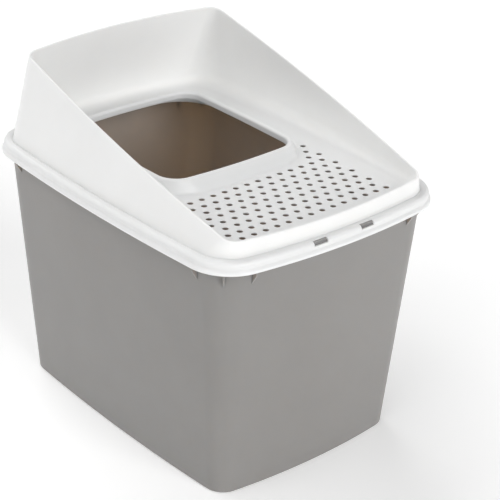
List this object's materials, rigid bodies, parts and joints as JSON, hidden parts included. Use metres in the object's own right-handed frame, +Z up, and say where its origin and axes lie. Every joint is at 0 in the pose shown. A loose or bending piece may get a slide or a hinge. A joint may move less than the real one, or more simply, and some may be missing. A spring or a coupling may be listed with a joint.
{
  "type": "top-entry cat litter box",
  "caption": "Top-entry cat litter box: deep tapered tub under a lift-off lid with a perforated tread, a raised collar round the entry and a sloping splash guard.",
  "frame": {"origin": "centre of the tub's flat underside, on the floor", "axes": "+Z up, +Y towards the back, where the splash guard is highest, -Y towards the front, where its lip is low, +X to the right seen from the front"},
  "size_m": [0.4, 0.529, 0.4907],
  "materials": {
    "tub_plastic": "satin moulded polypropylene, mid grey",
    "lid_plastic": "satin moulded polypropylene, white"
  },
  "bodies": {
    "tub": {"tub_shell": "tub_plastic", "tub_rim": "tub_plastic", "rim_gussets": "tub_plastic", "latch_lugs": "tub_plastic"},
    "lid": {"lid_rim": "lid_plastic", "tread_plate": "lid_plastic", "collar_deck": "lid_plastic", "entry_collar": "lid_plastic", "splash_guard": "lid_plastic"}
  },
  "joints": [
    {"name": "lid_lift", "type": "slide", "parent": "tub", "child": "lid", "axis": [0, 0, 1], "range_m": [0, 0.06]}
  ]
}
